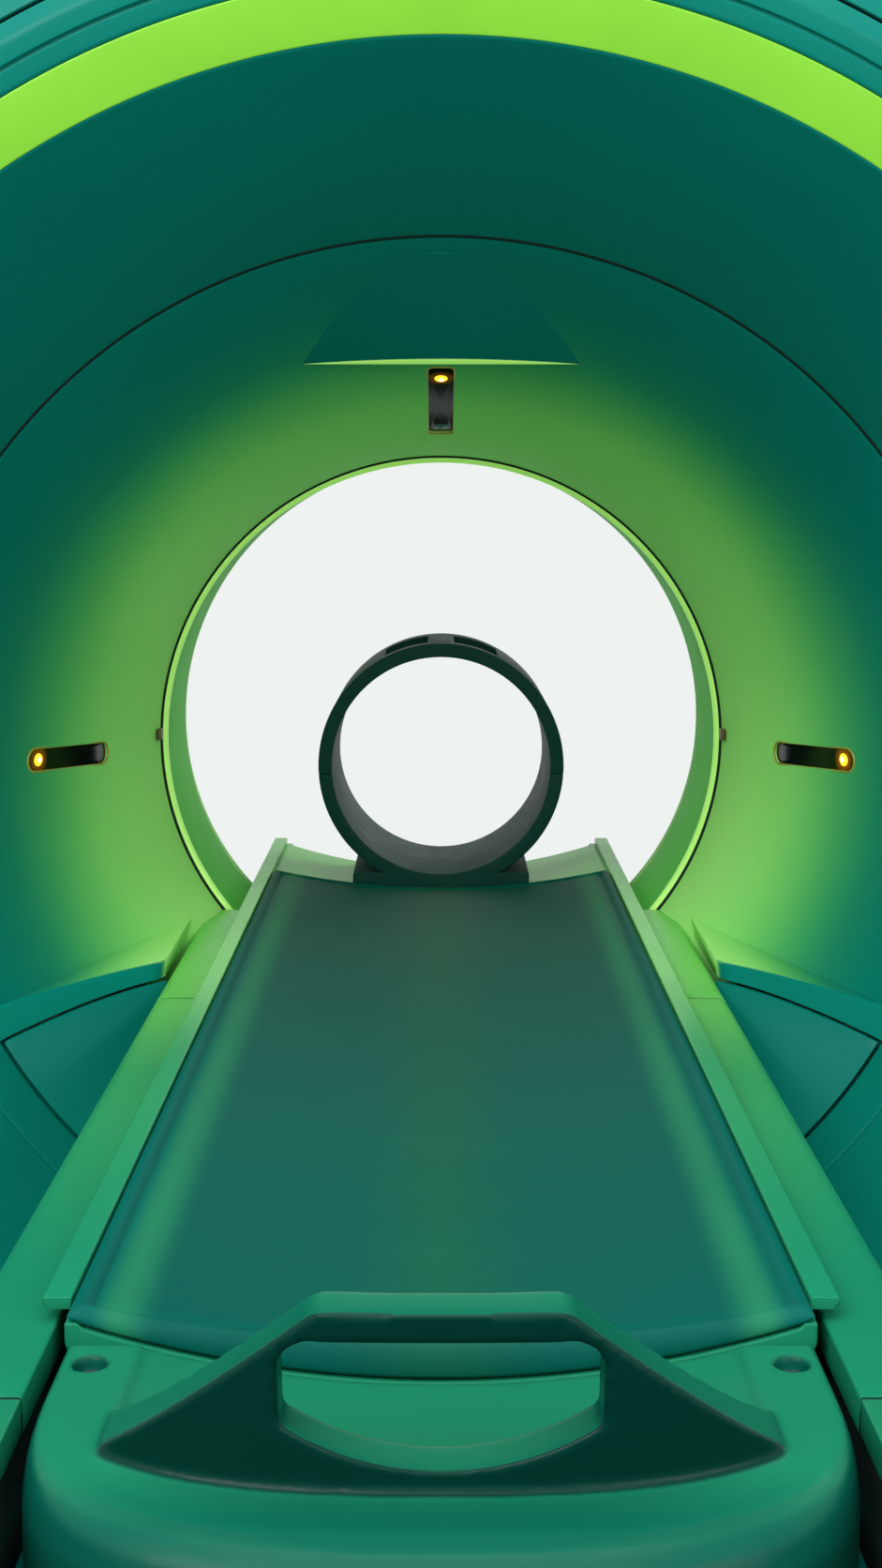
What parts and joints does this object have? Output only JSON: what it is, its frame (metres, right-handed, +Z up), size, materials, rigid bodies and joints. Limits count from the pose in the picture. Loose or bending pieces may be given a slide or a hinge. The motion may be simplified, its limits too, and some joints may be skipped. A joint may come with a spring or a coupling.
{
  "type": "mri scanner",
  "caption": "Short wide-bore magnetic resonance scanner with a flared, lit round opening and a patient table whose padded top slides into the tunnel.",
  "frame": {"origin": "on the floor, at the middle of the whole machine's box", "axes": "+Z up, +Y along the bore from the foot end of the table to the rear of the gantry, +X to the right seen from the table's foot end"},
  "size_m": [2.04, 3.18, 2.15],
  "materials": {
    "cover_glow": "satin moulded cover near the lit tunnel",
    "cover_teal": "satin moulded cover",
    "tunnel_white": "glossy glass fibre tunnel",
    "lit_band": "lit acrylic band",
    "seal_black": "matt seal",
    "catch_brown": "moulded catch",
    "window_black": "dark polished window",
    "lens_amber": "lit lens",
    "dark_plastic": "grained",
    "skirt_teal": "powder coat",
    "vessel_paint": "gloss paint",
    "coil_copper": "cast in resin",
    "coil_former": "glass fibre",
    "steel": "brushed",
    "rail_green": "satin moulded cover",
    "strip_light": "satin extrusion",
    "pad_teal": "wipe clean cover cloth",
    "roller_white": "turned nylon",
    "belt_black": "matt",
    "coil_shell": "satin moulded shell",
    "board_green": "solder mask"
  },
  "bodies": {
    "frame": {"front_funnel": "cover_glow", "front_dish": "cover_teal", "light_band": "lit_band", "front_bezel": "cover_teal", "front_cover": "cover_teal", "bore_tube": "tunnel_white", "bore_trim_ring": "tunnel_white", "bore_seal": "seal_black", "ring_clips": "catch_brown", "laser_window_top": "window_black", "laser_window_left": "window_black", "laser_window_right": "window_black", "laser_lenses": "lens_amber", "laser_modules": "dark_plastic", "wing_left": "cover_glow", "wing_right": "cover_glow", "lower_panel_left": "cover_teal", "lower_panel_right": "cover_teal", "top_cover": "cover_teal", "side_cover_left": "cover_teal", "side_cover_right": "cover_teal", "rear_cover": "cover_teal", "rear_funnel": "cover_glow", "base_skirt": "skirt_teal", "magnet_vessel": "vessel_paint", "magnet_feet": "steel", "gradient_coil": "coil_copper", "body_coil": "coil_former", "cold_head": "steel", "service_turret": "vessel_paint", "quench_flange": "steel", "led_board": "board_green", "blower_housing": "dark_plastic", "bore_runners": "tunnel_white", "bridge_deck": "cover_teal", "bridge_rail_left": "rail_green", "bridge_rail_right": "rail_green", "table_deck": "steel", "deck_cover": "cover_teal", "side_rail_left": "rail_green", "side_rail_right": "rail_green", "foot_cover": "rail_green", "pedestal_lower_cover": "cover_teal", "pedestal_upper_cover": "rail_green", "table_base": "dark_plastic", "lift_scissor": "steel", "lift_actuator": "dark_plastic", "drive_motor": "dark_plastic", "drive_belt": "belt_black"},
    "tabletop": {"tabletop": "rail_green", "edge_strips": "strip_light", "mattress": "pad_teal", "end_cap": "rail_green", "head_coil_base": "coil_shell", "head_coil_top": "coil_shell"},
    "roller_front": {"roller_front": "roller_white"},
    "roller_rear": {"roller_rear": "roller_white"},
    "drive_pulley": {"drive_pulley": "steel"},
    "idler_pulley": {"idler_pulley": "steel"},
    "blower_wheel": {"blower_wheel": "steel"}
  },
  "joints": [
    {"name": "tabletop_slide", "type": "slide", "parent": "frame", "child": "tabletop", "axis": [0, 1, 0], "range_m": [-0.68, 0.76]},
    {"name": "roller_front_spin", "type": "hinge", "parent": "frame", "child": "roller_front", "pos_m": [0, 0.22, 0.7497], "axis": [1, 0, 0], "range_deg": [-1985, 1775]},
    {"name": "roller_rear_spin", "type": "hinge", "parent": "frame", "child": "roller_rear", "pos_m": [0, -0.515, 0.7497], "axis": [1, 0, 0], "range_deg": [-1985, 1775]},
    {"name": "drive_pulley_spin", "type": "hinge", "parent": "frame", "child": "drive_pulley", "pos_m": [0, -1.44, 0.741], "axis": [1, 0, 0], "range_deg": [-2360, 2110]},
    {"name": "idler_pulley_spin", "type": "hinge", "parent": "frame", "child": "idler_pulley", "pos_m": [0, 0.1, 0.741], "axis": [1, 0, 0], "range_deg": [-2360, 2110]},
    {"name": "blower_spin", "type": "hinge", "parent": "frame", "child": "blower_wheel", "pos_m": [0, 1.36, 0.1183], "axis": [0, 1, 0], "continuous": true}
  ],
  "couplings": [
    {"joint": "roller_front_spin", "follows": "tabletop_slide", "rad_per_m": -45.455},
    {"joint": "roller_rear_spin", "follows": "tabletop_slide", "rad_per_m": -45.455},
    {"joint": "drive_pulley_spin", "follows": "tabletop_slide", "rad_per_m": -54.054},
    {"joint": "idler_pulley_spin", "follows": "tabletop_slide", "rad_per_m": -54.054}
  ]
}
